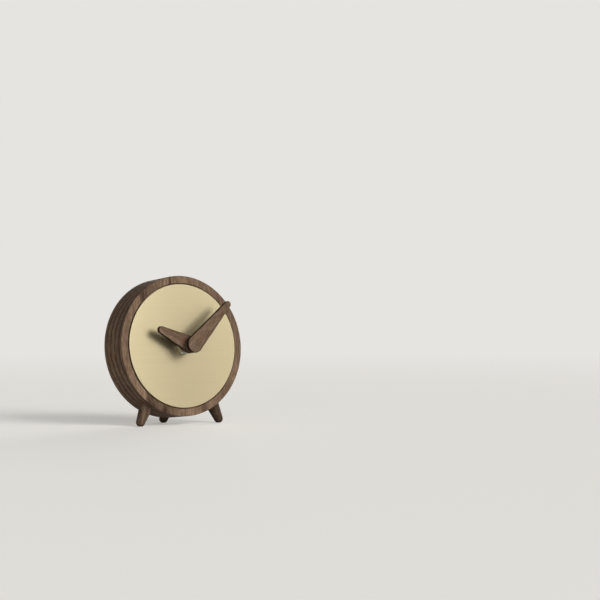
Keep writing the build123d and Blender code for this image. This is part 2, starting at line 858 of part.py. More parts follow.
def contact(side):
    """A contact plate at one end of the battery, with a tail that is soldered to the board."""
    left, right = at_side(side, inner_half_width, contact_thickness)
    plate = block(
        left, right, cell_rise - contact_width / 2, cell_rise + contact_width / 2,
        cell_depth - contact_height / 2, cell_depth + contact_height / 2)
    tail_top = board_bottom + contact_tail_width
    plate += block(left, right, cell_rise, tail_top, board_back, board_back + contact_tail_width)
    foot_left, foot_right = at_side(side, inner_half_width, contact_tail_width)
    return plate + block(
        foot_left, foot_right, board_bottom, tail_top, board_back, board_back + contact_thickness)


def positive_contact():
    return contact(1)


def negative_contact():
    """Contact plate with a bowed spring strip that presses on the battery."""
    root = contact_thickness - inner_half_width
    peak = cell_left - contact_gap - spring_thickness / 2
    strip = Polyline(
        (root, cell_depth - spring_height / 2), (peak, cell_depth), (root, cell_depth + spring_height / 2))
    bow = extrude(Plane.XY * trace(strip, spring_thickness), amount=contact_width / 2, both=True)
    bow = Pos(0, 0, cell_rise) * bow
    outside = block(root - overrun, root, movement_bottom, movement_top, 0, movement_back)
    return contact(-1) + (bow - outside)


# The battery

def cell_rod(radius, left, right):
    """A round length of the battery, between two places across the clock."""
    start = Plane(origin=(left, cell_depth, cell_rise), z_dir=(1, 0, 0))
    return extrude(start * Circle(radius), amount=right - left)


def battery_cell():
    left = cell_left + base_disc_thickness
    body = cell_rod(cell_radius, left, cell_right - cap_button_height - cap_thickness)
    ends = body.faces().sort_by(Axis.X)
    return fillet(ends[0].edges() + ends[-1].edges(), cell_softening)


def battery_cap():
    """Positive end of the battery, a disc with its round button."""
    button_left = cell_right - cap_button_height
    cap = cell_rod(cap_radius, button_left - cap_thickness, button_left)
    return cap + cell_rod(cap_button_radius, button_left, cell_right)


def battery_base():
    return cell_rod(base_disc_radius, cell_left, cell_left + base_disc_thickness)


# The set knob

def set_knob():
    """Ribbed knob behind the cover, with a slot across it."""
    knob = rod(knob_radius - knob_rib_radius, knob_front, knob_back, setting_place)
    for rib in range(knob_ribs):
        place = step_from(setting_place, rib * 360 / knob_ribs, knob_radius - knob_rib_radius)
        knob += rod(knob_rib_radius, knob_front, knob_back, place)
    slot_middle = setting_place[1]
    knob -= block(
        setting_place[0] - knob_radius, setting_place[0] + knob_radius,
        slot_middle - knob_slot_width / 2, slot_middle + knob_slot_width / 2,
        knob_back - knob_slot_depth, knob_back)
    return knob - rod(setting_arbor_radius, knob_front - overrun, setting_arbor_back, setting_place)


# Every piece, leaned back, stood on its pegs and written out

piece_makers = (
    case_drum, front_leg_left, front_leg_right, rear_leg, dial_plate, dial_adhesive,
    hour_hand, minute_hand, hour_hand_collet, minute_hand_collet, centre_nut, nut_washer,
    movement_gasket, movement_base, middle_plate, movement_cover, circuit_board, circuit_chip,
    quartz_crystal, stator_core, coil_bobbin, coil_winding, rotor_magnet, rotor_pinion,
    intermediate_wheel, second_wheel, third_wheel, centre_wheel, clutch_spring, minute_arbor,
    setting_wheel, hour_wheel, set_knob, battery_cell, battery_cap, battery_base,
    positive_contact, negative_contact)


def stood(piece):
    """A piece leaned back with the clock and raised to its height above the shelf."""
    return Pos(0, 0, face_height) * Rot(-lean_angle, 0, 0) * piece


def footed(leg):
    """A peg with its round tip cut flat where it stands on the shelf."""
    shelf = Pos(0, 0, -overrun) * Box(4 * drum_radius, 4 * drum_radius, 2 * overrun)
    return leg - shelf


pieces = {maker.__name__: stood(maker()) for maker in piece_makers}
for name in ("front_leg_left", "front_leg_right", "rear_leg"):
    pieces[name] = footed(pieces[name])
boxes = [piece.bounding_box() for piece in pieces.values()]
middle = (min(box.min.Y for box in boxes) + max(box.max.Y for box in boxes)) / 2

os.makedirs("parts", exist_ok=True)
for name, piece in pieces.items():
    export_step(Pos(0, -middle, 0) * piece, f"parts/{name}.step")
print("middle of the clock's depth, from the rim's front face:", round(middle, 4))
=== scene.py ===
import bmesh
import bpy
import json
from math import atan2, cos, pi, radians, sin, tau
from mathutils import Matrix, Vector


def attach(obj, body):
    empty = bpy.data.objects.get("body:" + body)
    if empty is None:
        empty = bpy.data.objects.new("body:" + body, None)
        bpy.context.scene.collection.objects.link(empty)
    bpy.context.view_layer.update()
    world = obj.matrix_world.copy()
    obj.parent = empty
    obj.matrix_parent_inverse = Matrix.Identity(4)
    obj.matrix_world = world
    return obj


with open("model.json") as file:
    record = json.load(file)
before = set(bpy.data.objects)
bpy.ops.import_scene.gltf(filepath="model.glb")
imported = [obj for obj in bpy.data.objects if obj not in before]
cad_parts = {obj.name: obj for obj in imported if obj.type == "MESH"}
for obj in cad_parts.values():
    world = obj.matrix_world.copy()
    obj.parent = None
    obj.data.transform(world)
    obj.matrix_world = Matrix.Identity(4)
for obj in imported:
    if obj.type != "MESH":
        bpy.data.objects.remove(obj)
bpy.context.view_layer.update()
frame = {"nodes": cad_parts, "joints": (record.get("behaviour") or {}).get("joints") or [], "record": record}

# The walnut desk clock: the finish of every surface, and the mouldings on the movement's cover.
# Lengths are metres. Places on the clock are given in its upright frame, as in the model: X to the
# right, Y backwards from the rim's front face along the hands' axis, and Z up.

mm = 0.001

# Camera
camera_offset = Vector((-634.1 * mm, -1001.6 * mm, 32.5 * mm))
camera_heading = radians(36.36)
camera_lens = 100
camera_sensor = 36
camera_clip_start = 10 * mm


def joint_named(name):
    return next(joint for joint in frame["joints"] if joint["name"] == name)


hands_joint = joint_named("minute_hand_turn")
hands_axis = Vector(hands_joint["axis"]).normalized()
lean = atan2(-hands_axis.z, hands_axis.y)


def points_of(node):
    """A CAD node's vertices in the frame of the whole part."""
    return [vertex.co.copy() for vertex in frame["nodes"][node].data.vertices]


def face_centre():
    """The point on the hands' axis in the plane of the rim's front face."""
    anchor = Vector(hands_joint["pos_m"])
    nearest = min((point - anchor).dot(hands_axis) for point in points_of("case_drum"))
    return anchor + hands_axis * nearest


clock_frame = Matrix.Translation(face_centre()) @ Matrix.Rotation(-lean, 4, "X")
to_clock = clock_frame.inverted()


def span(node):
    """Lowest and highest corner of a CAD node in the clock's upright frame."""
    points = [to_clock @ point for point in points_of(node)]
    low = Vector(min(point[axis] for point in points) for axis in range(3))
    high = Vector(max(point[axis] for point in points) for axis in range(3))
    return low, high


def make_camera():
    """A level camera with a long lens, in front of the clock and to its left."""
    data = bpy.data.cameras.new("camera")
    data.lens = camera_lens
    data.sensor_width = camera_sensor
    data.clip_start = camera_clip_start
    camera = bpy.data.objects.new("camera", data)
    camera.location = clock_frame.translation + camera_offset
    ahead = Vector((sin(camera_heading), cos(camera_heading), 0))
    camera.rotation_mode = "QUATERNION"
    camera.rotation_quaternion = ahead.to_track_quat("-Z", "Y")
    bpy.context.collection.objects.link(camera)
    bpy.context.scene.camera = camera


make_camera()


def new_object(name, mesh):
    made = bpy.data.objects.new(name, mesh)
    bpy.context.collection.objects.link(made)
    return made


# Node materials

# Most values of a noise lie between these two
usual_low = 0.3
usual_high = 0.7


def from_srgb(red, green, blue):
    """A colour given as it looks on screen, 0 to 255, as the shader wants it."""
    def linear(value):
        share = value / 255
        return share / 12.92 if share <= 0.04045 else ((share + 0.055) / 1.055) ** 2.4
    return (linear(red), linear(green), linear(blue), 1)


def add(tree, kind, settings=None, **inputs):
    """A node with its settings, its inputs set or linked by name, and its outputs ready to use."""
    node = tree.nodes.new("ShaderNode" + kind)
    for key, value in (settings or {}).items():
        setattr(node, key, value)
    for key, value in inputs.items():
        socket = node.inputs[int(key[1:])] if key[1:].isdigit() else node.inputs[key.replace("_", " ")]
        if isinstance(value, bpy.types.NodeSocket):
            tree.links.new(value, socket)
        else:
            socket.default_value = value
    return node


def maths(tree, operation, *values):
    inputs = {f"i{number}": value for number, value in enumerate(values)}
    return add(tree, "Math", {"operation": operation}, **inputs).outputs[0]


def stretched(tree, vector, scale):
    """A place multiplied by a scale along each axis."""
    return add(tree, "VectorMath", {"operation": "MULTIPLY"}, i0=vector, i1=scale).outputs[0]


def noise(tree, vector, scale, detail=2.0, roughness=0.5):
    return add(
        tree, "TexNoise", Vector=vector, Scale=scale, Detail=detail, Roughness=roughness).outputs["Fac"]


def ranged(tree, value, low, high, to_low=0.0, to_high=1.0):
    """A value moved from one range to another, smoothly, and kept inside it."""
    return add(
        tree, "MapRange", {"interpolation_type": "SMOOTHSTEP"},
        Value=value, From_Min=low, From_Max=high, To_Min=to_low, To_Max=to_high).outputs[0]


def spread(tree, value, to_low, to_high):
    """A noise's usual values moved to a range."""
    return ranged(tree, value, usual_low, usual_high, to_low, to_high)


def mixed(tree, factor, first, second, blend="MIX"):
    node = add(tree, "Mix", {"data_type": "RGBA", "blend_type": blend})
    for index, value in ((0, factor), (6, first), (7, second)):
        if isinstance(value, bpy.types.NodeSocket):
            tree.links.new(value, node.inputs[index])
        else:
            node.inputs[index].default_value = value
    return node.outputs[2]


def ramp(tree, factor, stops):
    node = add(tree, "ValToRGB", Fac=factor)
    elements = node.color_ramp.elements
    while len(elements) < len(stops):
        elements.new(0.5)
    for element, (position, colour) in zip(elements, stops):
        element.position = position
        element.color = colour
    return node.outputs["Color"]


def new_material(name, **inputs):
    """A material with its main shader, whose inputs are given by name."""
    material = bpy.data.materials.new(name)
    material.use_nodes = True
    tree = material.node_tree
    tree.nodes.clear()
    shader = add(tree, "BsdfPrincipled", **inputs)
    output = tree.nodes.new("ShaderNodeOutputMaterial")
    tree.links.new(shader.outputs["BSDF"], output.inputs["Surface"])
    return material, tree, shader


def local_place(tree, own_frame):
    """Places measured in a frame of the piece's own, which moves with the piece."""
    inverse = own_frame.inverted()
    coordinates = tree.nodes.new("ShaderNodeTexCoord")
    return add(
        tree, "Mapping", Vector=coordinates.outputs["Object"],
        Location=inverse.translation, Rotation=inverse.to_euler("XYZ")).outputs[0]


def bump(tree, shader, height, distance, strength):
    node = add(tree, "Bump", Height=height, Distance=distance, Strength=strength)
    tree.links.new(node.outputs["Normal"], shader.inputs["Normal"])


# Walnut, with the fibres along the wood frame's Z and the growth layers stacked along its Y

wood_light = from_srgb(152, 128, 105)
wood_middle = from_srgb(118, 96, 77)
wood_dark = from_srgb(54, 40, 31)
wood_red = from_srgb(122, 82, 60)
wood_pore = from_srgb(36, 26, 20)
wood_charred_and_shade = from_srgb(38, 27, 19)
wood_mauve = from_srgb(122, 97, 90)
wood_gloss = 0.045
hand_gloss = 0.04
wood_roughness = (0.58, 0.72)

# Each noise in the wood: how far places are stretched along X, Y and Z before it is looked up,
# its scale, its detail and its roughness
wood_noises = {
    "wander": ((1, 1, 0.3), 38, 2.0, 0.5),
    "fibre": ((1, 1, 0.03), 2300, 3.0, 0.6),
    "streak": ((1, 0.5, 0.05), 520, 2.0, 0.5),
    "cloud": ((1, 1, 0.4), 55, 2.0, 0.5),
    "patch": ((1, 1, 0.5), 95, 1.0, 0.5),
    "fleck": ((1, 1, 0.17), 1250, 2.0, 0.6),
    "tint": ((1, 1, 0.22), 480, 2.0, 0.6),
}
layer_wander = 2.4 * mm
late_wood_start, late_wood_full = 0.45, 0.93
late_wood_end_start, late_wood_end = 0.94, 1.0
fine_layer_scale = 900
fine_layer_detail = 3.0

# The wood's tone runs from light at nought to dark at one; each noise moves it between two amounts
early_wood_tone = 0.2
middle_tone = 0.38
fine_layer_amounts = (-0.07, 0.11)
tone_amounts = {
    "streak": (-0.07, 0.1),
    "fibre": (-0.12, 0.2),
    "fleck": (-0.17, 0.19),
    "cloud": (-0.08, 0.14),
}
red_start, red_full, red_depth = 0.52, 0.74, 0.24
mauve_start, mauve_full, mauve_depth = 0.5, 0.75, 0.5
spot_core = 0.2

# Pores are wider where the wood's clouds are light
pore_stretch = (1, 1, 0.08)
pore_scale = 1400
pore_cloud_low, pore_cloud_high = 0.25, 0.75
pore_widest, pore_narrowest = 0.26, 0.12
pore_darkness = 0.5
fibre_relief = 0.35
wood_relief = 0.03 * mm
wood_relief_strength = 0.5

# Surfaces count as end grain or as a hand's side by how squarely they face the fibres or the dial
end_grain_start, end_grain_full = 0.25, 0.95
end_grain_depth = 0.45
# The hands' sides and a thin rim round their faces turn dark: charred cut edges, and painted shade on the
# sides
char_shade_side_full, char_shade_side_end = 0.45, 0.9
char_shade_side_depth = 0.92
char_shade_dark_width = 0.15 * mm
char_shade_width = 0.85 * mm
char_shade_wander = 0.25 * mm
char_shade_depth = 0.75


def facing(tree, direction):
    """How squarely the surface faces along a direction, either way, from nought to one."""
    coordinates = tree.nodes.new("ShaderNodeTexCoord")
    lined_up = add(
        tree, "VectorMath", {"operation": "DOT_PRODUCT"}, i0=coordinates.outputs["Normal"], i1=direction)
    return maths(tree, "ABSOLUTE", lined_up.outputs["Value"])


def spot(tree, place, centre, size):
    """One inside a soft long spot in the wood, and nought outside it."""
    away = add(tree, "VectorMath", {"operation": "SUBTRACT"}, i0=place, i1=centre).outputs[0]
    scaled = stretched(tree, away, tuple(1 / length for length in size))
    reach = add(tree, "VectorMath", {"operation": "LENGTH"}, i0=scaled).outputs["Value"]
    return ranged(tree, reach, spot_core, 1.0, 1.0, 0.0)


def inside_outline(tree, place, hub_radius, tip_radius, reach):
    """How far inside a hand's outline a place is; the outline goes round a hub and a tip circle."""
    parts = add(tree, "SeparateXYZ", Vector=place)
    across, along = maths(tree, "ABSOLUTE", parts.outputs["X"]), parts.outputs["Z"]
    fall = (hub_radius - tip_radius) / reach
    level = (1 - fall ** 2) ** 0.5
    flat = add(tree, "CombineXYZ", X=across, Y=along, Z=0.0).outputs[0]

    def to_circle(centre, radius):
        away = add(tree, "VectorMath", {"operation": "DISTANCE"}, i0=flat, i1=(0, centre, 0))
        return maths(tree, "SUBTRACT", radius, away.outputs["Value"])

    def weighed(first, second):
        return maths(tree, "MULTIPLY_ADD", across, first, maths(tree, "MULTIPLY", along, second))

    to_side = maths(tree, "SUBTRACT", hub_radius, weighed(level, fall))
    place_along = weighed(-fall, level)
    beside_hub = maths(tree, "LESS_THAN", place_along, 0.0)
    beside_tip = maths(tree, "GREATER_THAN", place_along, level * reach)
    beside_shaft = maths(tree, "SUBTRACT", maths(tree, "SUBTRACT", 1.0, beside_hub), beside_tip)
    inwards = maths(tree, "MULTIPLY", to_side, beside_shaft)
    inwards = maths(tree, "MULTIPLY_ADD", to_circle(0, hub_radius), beside_hub, inwards)
    return maths(tree, "MULTIPLY_ADD", to_circle(reach, tip_radius), beside_tip, inwards)


def walnut(
        name, wood_frame, heart=(50 * mm, 600 * mm), layer_gap=5.6 * mm, layer_shift=3.4 * mm,
        layer_depth=0.5, tone_and_painted_shade=1.0, streaks=(), warm_spots=(), gloss=wood_gloss,
        charred_and_shaded_outline=None):
    """Oiled walnut: growth layers round a heart, fibres, pores, clouds of colour, and its own marks."""
    material, tree, shader = new_material(name, Specular_IOR_Level=gloss)
    place = local_place(tree, wood_frame)
    noises = {
        kind: noise(tree, stretched(tree, place, stretch), scale, detail, roughness)
        for kind, (stretch, scale, detail, roughness) in wood_noises.items()}

    from_heart = add(
        tree, "VectorMath", {"operation": "SUBTRACT"},
        i0=stretched(tree, place, (1, 1, 0)), i1=(heart[0], heart[1], 0)).outputs[0]
    reach = add(tree, "VectorMath", {"operation": "LENGTH"}, i0=from_heart).outputs["Value"]
    reach = maths(tree, "MULTIPLY_ADD", noises["wander"], layer_wander, reach)
    shifted = maths(tree, "ADD", reach, layer_shift)
    layer = maths(tree, "FRACT", maths(tree, "DIVIDE", shifted, layer_gap))
    late_wood = maths(
        tree, "MULTIPLY", ranged(tree, layer, late_wood_start, late_wood_full),
        ranged(tree, layer, late_wood_end_start, late_wood_end, 1.0, 0.0))
    fine_layer = add(
        tree, "TexNoise", {"noise_dimensions": "1D"},
        W=reach, Scale=fine_layer_scale, Detail=fine_layer_detail).outputs["Fac"]

    tone = maths(tree, "MULTIPLY_ADD", late_wood, layer_depth, early_wood_tone)
    tone = maths(tree, "ADD", tone, spread(tree, fine_layer, *fine_layer_amounts))
    for kind, amounts in tone_amounts.items():
        tone = maths(tree, "ADD", tone, spread(tree, noises[kind], *amounts))
    for centre, size, depth in streaks:
        tone = maths(tree, "MULTIPLY_ADD", spot(tree, place, centre, size), depth, tone)
    colour = ramp(tree, tone, ((0.0, wood_light), (middle_tone, wood_middle), (1.0, wood_dark)))
    redness = ranged(tree, noises["patch"], red_start, red_full, 0.0, red_depth)
    for centre, size, depth in warm_spots:
        redness = maths(tree, "MULTIPLY_ADD", spot(tree, place, centre, size), depth, redness)
    colour = mixed(tree, redness, colour, wood_red)
    mauveness = ranged(tree, noises["tint"], mauve_start, mauve_full, 0.0, mauve_depth)
    colour = mixed(tree, mauveness, colour, wood_mauve)

    to_pore = add(
        tree, "TexVoronoi", {"feature": "F1"}, Vector=stretched(tree, place, pore_stretch),
        Scale=pore_scale, Randomness=1.0).outputs["Distance"]
    pore_width = ranged(
        tree, noises["cloud"], pore_cloud_low, pore_cloud_high, pore_widest, pore_narrowest)
    pore = maths(tree, "LESS_THAN", to_pore, pore_width)
    colour = mixed(tree, maths(tree, "MULTIPLY", pore, pore_darkness), colour, wood_pore)
    # The colour is scaled by a brightness: the wood's own tone on the hands, painted light and shade on the
    # pegs
    colour = mixed(tree, 1.0, colour, (tone_and_painted_shade, tone_and_painted_shade, tone_and_painted_shade, 1), "MULTIPLY")
    square_to_fibres = facing(tree, wood_frame.col[2].xyz)
    end_grain = ranged(tree, square_to_fibres, end_grain_start, end_grain_full, 0.0, end_grain_depth)
    colour = mixed(tree, end_grain, colour, wood_dark)
    # Charred cut edges and painted shade: the hands' sides and outline darken
    if charred_and_shaded_outline:
        square = facing(tree, hands_axis)
        side = ranged(tree, square, char_shade_side_full, char_shade_side_end, char_shade_side_depth, 0.0)
        inside = inside_outline(tree, place, *charred_and_shaded_outline)
        inside = maths(tree, "MULTIPLY_ADD", noises["fleck"], char_shade_wander, inside)
        rim = ranged(tree, inside, char_shade_dark_width, char_shade_width, char_shade_depth, 0.0)
        colour = mixed(tree, maths(tree, "MAXIMUM", side, rim), colour, wood_charred_and_shade)
    tree.links.new(colour, shader.inputs["Base Color"])
    tree.links.new(spread(tree, noises["fibre"], *wood_roughness), shader.inputs["Roughness"])
    relief = maths(tree, "SUBTRACT", maths(tree, "MULTIPLY", noises["fibre"], fibre_relief), pore)
    bump(tree, shader, relief, wood_relief, wood_relief_strength)
    return material


# Metal and plastic

line_detail = 3.0
line_roughness = 0.65
streak_coarseness = 6
streak_detail = 3.0
streak_roughness = 0.6
metal_relief_strength = 0.6

# Painted reflection: the dial's colour is brighter away from its middle, less so upwards and downwards
brighter_stretch = (1, 0, 0.35)
brighter_start, brighter_full = 4 * mm, 46 * mm

# A bevel is what faces along the hands' axis neither squarely nor not at all
bevel_start, bevel_full = 0.3, 0.6
bevel_end_start, bevel_end = 0.8, 0.97


def brushed_metal(
        name, colour, roughness, line_direction=(0.02, 1, 1), line_scale=3000,
        line_depth=0.004 * mm, unevenness=0.06, streak_depth=0.02, painted_edge_sheen=0.0, cut_edge_and_painted_glint=None):
    """Metal with fine lines; the direction's short side is the one that the lines run along."""
    material, tree, shader = new_material(name, Metallic=1.0)
    place = local_place(tree, clock_frame)
    along_lines = stretched(tree, place, line_direction)
    lines = noise(tree, along_lines, line_scale, line_detail, line_roughness)
    streaks = noise(
        tree, along_lines, line_scale / streak_coarseness, streak_detail, streak_roughness)
    shade = maths(
        tree, "MULTIPLY", spread(tree, lines, 1.0 - unevenness, 1.0),
        spread(tree, streaks, 1.0 - streak_depth, 1.0))
    # Painted reflection: the colour darkens towards the middle, so the edges look brighter
    if painted_edge_sheen:
        outwards = add(
            tree, "VectorMath", {"operation": "LENGTH"}, i0=stretched(tree, place, brighter_stretch))
        rise = ranged(
            tree, outwards.outputs["Value"], brighter_start, brighter_full, 1.0 - painted_edge_sheen, 1.0)
        shade = maths(tree, "MULTIPLY", shade, rise)
    shaded = mixed(tree, 1.0, colour, shade, "MULTIPLY")
    # The bevel gets a paler colour: partly a polished cut edge, partly a painted highlight
    if cut_edge_and_painted_glint:
        square = facing(tree, hands_axis)
        bevelled = maths(
            tree, "MULTIPLY", ranged(tree, square, bevel_start, bevel_full),
            ranged(tree, square, bevel_end_start, bevel_end, 1.0, 0.0))
        shaded = mixed(tree, bevelled, shaded, cut_edge_and_painted_glint)
    tree.links.new(shaded, shader.inputs["Base Color"])
    gloss = spread(tree, lines, roughness - unevenness, roughness + unevenness)
    tree.links.new(gloss, shader.inputs["Roughness"])
    bump(tree, shader, lines, line_depth, metal_relief_strength)
    return material


plastic_cloud_scale = 60
plastic_cloud_low, plastic_cloud_high = 0.35, 0.65
plastic_grain_detail = 2.0
plastic_lighter_share = 1.12
plastic_lighter_amount = 0.004
plastic_smoother, plastic_rougher = 0.06, 0.08
plastic_relief_strength = 0.6


def moulded_plastic(name, colour, roughness, grain_scale=1800, grain_depth=0.01 * mm):
    """Plastic with a fine spark texture and slightly uneven gloss."""
    material, tree, shader = new_material(name)
    place = local_place(tree, clock_frame)
    grain = noise(tree, place, grain_scale, plastic_grain_detail)
    cloud = noise(tree, place, plastic_cloud_scale, plastic_grain_detail)
    lighter = tuple(
        min(1, plastic_lighter_share * value + plastic_lighter_amount) for value in colour[:3])
    cloudy = ranged(tree, cloud, plastic_cloud_low, plastic_cloud_high)
    tree.links.new(mixed(tree, cloudy, colour, lighter + (1,)), shader.inputs["Base Color"])
    gloss = spread(tree, grain, roughness - plastic_smoother, roughness + plastic_rougher)
    tree.links.new(gloss, shader.inputs["Roughness"])
    bump(tree, shader, grain, grain_depth, plastic_relief_strength)
    return material


wrap_roughness = 0.22
scuff_colour = from_srgb(120, 125, 120)
scuff_stretch = (1, 4, 4)
scuff_scale = 900
scuff_detail = 3.0
scuff_roughness = 0.7
scuff_start, scuff_full, scuff_depth = 0.62, 0.8, 0.25
scuff_relief = 0.004 * mm
scuff_relief_strength = 0.4


def cell_wrap(name, colour, band_colour, low, high):
    """The printed film on the battery cell, with a plain pale band at its positive end."""
    material, tree, shader = new_material(name, Roughness=wrap_roughness)
    place = local_place(tree, clock_frame)
    across = add(tree, "SeparateXYZ", Vector=place).outputs["X"]
    scuff = noise(
        tree, stretched(tree, place, scuff_stretch), scuff_scale, scuff_detail, scuff_roughness)
    past_low = maths(tree, "GREATER_THAN", across, low)
    inside = maths(tree, "MULTIPLY", past_low, maths(tree, "LESS_THAN", across, high))
    shade = mixed(tree, inside, colour, band_colour)
    scuffed = ranged(tree, scuff, scuff_start, scuff_full, 0.0, scuff_depth)
    tree.links.new(mixed(tree, scuffed, shade, scuff_colour), shader.inputs["Base Color"])
    bump(tree, shader, scuff, scuff_relief, scuff_relief_strength)
    return material


# The wood in the hands and pegs, and the marks in it

peg_foot_level = 0.1 * mm


def hand_frame(node):
    """The frame of a hand's wood, whose Z runs from the hub to the tip."""
    points = [to_clock @ point for point in points_of(node)]
    tip = max(points, key=lambda point: point.x ** 2 + point.z ** 2)
    turn = atan2(tip.x, tip.z)
    return clock_frame @ Matrix.Rotation(turn, 4, "Y")


def hand_outline(node, tip_radius):
    """A hand's hub radius, its tip's radius and the distance between their centres."""
    to_hand = hand_frame(node).inverted()
    along = [(to_hand @ point).z for point in points_of(node)]
    return -min(along), tip_radius, max(along) - tip_radius


def peg_frame(node):
    """The frame of a peg's wood, whose Z runs along the peg."""
    standing = [point for point in points_of(node) if point.z < peg_foot_level]
    foot = sum(standing, Vector()) / len(standing)
    low, high = span(node)
    root = clock_frame @ Vector(((low.x + high.x) / 2, (low.y + high.y) / 2, high.z))
    along = (root - foot).normalized()
    return Matrix.Translation(foot) @ along.to_track_quat("Z", "Y").to_matrix().to_4x4()


# Each mark in the wood: its centre, its size and its depth
drum_streaks = (
    ((-8 * mm, 0, 47 * mm), (1.8 * mm, 6 * mm, 9 * mm), 0.5),
    ((-17 * mm, 0, -46 * mm), (2.2 * mm, 6 * mm, 8 * mm), 0.3),
    ((15.5 * mm, 0, -46 * mm), (3.2 * mm, 6 * mm, 9 * mm), 0.34),
    ((47 * mm, 0, 5 * mm), (1.6 * mm, 6 * mm, 16 * mm), 0.25),
)
hour_warm_spots = (((0, -9.4 * mm, 7.5 * mm), (3 * mm, 4 * mm, 4.5 * mm), 0.65),)
minute_tip_radius = 2.3 * mm
hour_tip_radius = 2.55 * mm
hand_layers = {"layer_gap": 4 * mm, "layer_depth": 0.12, "tone_and_painted_shade": 0.88, "gloss": hand_gloss}
peg_layers = {"layer_gap": 3 * mm, "layer_depth": 0.2}
materials = {
    "case_drum": walnut("drum_walnut", clock_frame, streaks=drum_streaks),
    "minute_hand": walnut(
        "minute_hand_walnut", hand_frame("minute_hand"), heart=(20 * mm, 400 * mm), layer_shift=0.0,
        charred_and_shaded_outline=hand_outline("minute_hand", minute_tip_radius), **hand_layers),
    "hour_hand": walnut(
        "hour_hand_walnut", hand_frame("hour_hand"), heart=(30 * mm, 400 * mm), layer_shift=1 * mm,
        warm_spots=hour_warm_spots, charred_and_shaded_outline=hand_outline("hour_hand", hour_tip_radius),
        **hand_layers),
    # The pegs' brightness differs as painted light and shade: the left peg lit, the right and rear pegs
    # shaded
    "front_leg_left": walnut(
        "left_peg_walnut_painted_light", peg_frame("front_leg_left"), heart=(30 * mm, 200 * mm), layer_shift=0.0,
        tone_and_painted_shade=0.62, **peg_layers),
    "front_leg_right": walnut(
        "right_peg_walnut_painted_shade", peg_frame("front_leg_right"), heart=(50 * mm, 200 * mm),
        layer_shift=1 * mm, tone_and_painted_shade=0.33, **peg_layers),
    "rear_leg": walnut(
        "rear_peg_walnut_painted_shade", peg_frame("rear_leg"), heart=(40 * mm, 200 * mm), layer_shift=2 * mm,
        tone_and_painted_shade=0.5, **peg_layers),
    "centre_nut": brushed_metal(
        "nut_brass", from_srgb(248, 246, 238), roughness=0.32, line_direction=(1, 0.1, 1),
        line_scale=5000, line_depth=0.0005 * mm, unevenness=0.03),
}

cell_band_width = 7 * mm
cell_band_inset = 3 * mm
cell_low, cell_high = span("battery_cell")
cap_on_right = span("battery_cap")[0].x > cell_low.x
if cap_on_right:
    band_low = cell_high.x - cell_band_inset - cell_band_width
else:
    band_low = cell_low.x + cell_band_inset

# Each metal: its colour on screen, its roughness and what else isn't plain
lines_round_axis = (1, 0.1, 1)
metals = {
    # The dial's brighter edges are painted reflection; its pale bevel is partly painted highlight
    "dial_brass": ((158, 147, 118), 0.42, {
        "line_direction": (0.01, 1, 1), "line_scale": 6000, "line_depth": 0.00004 * mm,
        "unevenness": 0.02, "streak_depth": 0.035, "painted_edge_sheen": 0.13,
        "cut_edge_and_painted_glint": from_srgb(236, 222, 184)}),
    "fitting_brass": ((172, 156, 114), 0.24, {"line_direction": lines_round_axis}),
    # The washer's darkened colour is painted shade, matching the dial in the hands' shadow
    "washer_steel": ((136, 126, 100), 0.45, {"line_direction": lines_round_axis}),
    "arbor_steel": ((196, 194, 188), 0.25, {"line_direction": lines_round_axis}),
    "spring_steel": ((205, 203, 198), 0.28, {"line_direction": (0.1, 1, 1)}),
    "stator_steel": ((150, 150, 154), 0.4, {}),
    "crystal_can": ((210, 210, 212), 0.22, {}),
    "cell_ends": ((205, 205, 205), 0.25, {}),
    "copper_wire": ((196, 120, 76), 0.35, {"line_direction": (1, 0.05, 0.05), "line_scale": 9000}),
}

# Each plastic, rubber or resin, in the same way
plastics = {
    "adhesive_film": ((225, 222, 208), 0.6, {}),
    "gasket_rubber": ((28, 28, 28), 0.75, {}),
    "housing_plastic": ((34, 34, 36), 0.45, {}),
    "cover_plastic": ((50, 50, 52), 0.52, {"grain_scale": 2200, "grain_depth": 0.015 * mm}),
    "plate_plastic": ((225, 223, 215), 0.45, {}),
    "board_laminate": ((38, 92, 48), 0.3, {}),
    "chip_resin": ((20, 20, 20), 0.25, {}),
    "bobbin_plastic": ((220, 210, 180), 0.45, {}),
    "magnet_ferrite": ((60, 60, 63), 0.5, {}),
    "wheel_plastic": ((236, 233, 222), 0.35, {}),
    "knob_plastic": ((60, 60, 62), 0.42, {}),
}
slot_materials = {
    name: make(name, from_srgb(*colour), roughness, **looks)
    for make, finishes in ((brushed_metal, metals), (moulded_plastic, plastics))
    for name, (colour, roughness, looks) in finishes.items()}
slot_materials["cell_sleeve"] = cell_wrap(
    "cell_sleeve", from_srgb(34, 58, 62), from_srgb(186, 186, 180), band_low,
    band_low + cell_band_width)
slots = {part["node"]: part["material_slot"] for part in frame["record"]["subparts"]}
for node, shown in frame["nodes"].items():
    finish = materials[node] if node in materials else slot_materials[slots[node]]
    shown.data.materials.clear()
    shown.data.materials.append(finish)


# Raised mouldings on the back of the movement's cover

circle_sides = 64
corner_steps = 8


def circle_points(radius, sides):
    return [(radius * cos(turn * tau / sides), radius * sin(turn * tau / sides)) for turn in range(sides)]


def circle_outline(centre, radius):
    return [(centre[0] + x, centre[1] + z) for x, z in circle_points(radius, circle_sides)]


def rounded_outline(low, high, radius):
    """A rectangle with round corners, anticlockwise from its right-hand side."""
    corners = ((high[0], high[1], 0), (low[0], high[1], 1), (low[0], low[1], 2), (high[0], low[1], 3))
    outline = []
    for x, z, quarter in corners:
        centre = (
            x - radius if x == high[0] else x + radius, z - radius if z == high[1] else z + radius)
        for step in range(corner_steps + 1):
            turn = (quarter + step / corner_steps) * pi / 2
            outline.append((centre[0] + radius * cos(turn), centre[1] + radius * sin(turn)))
    return outline


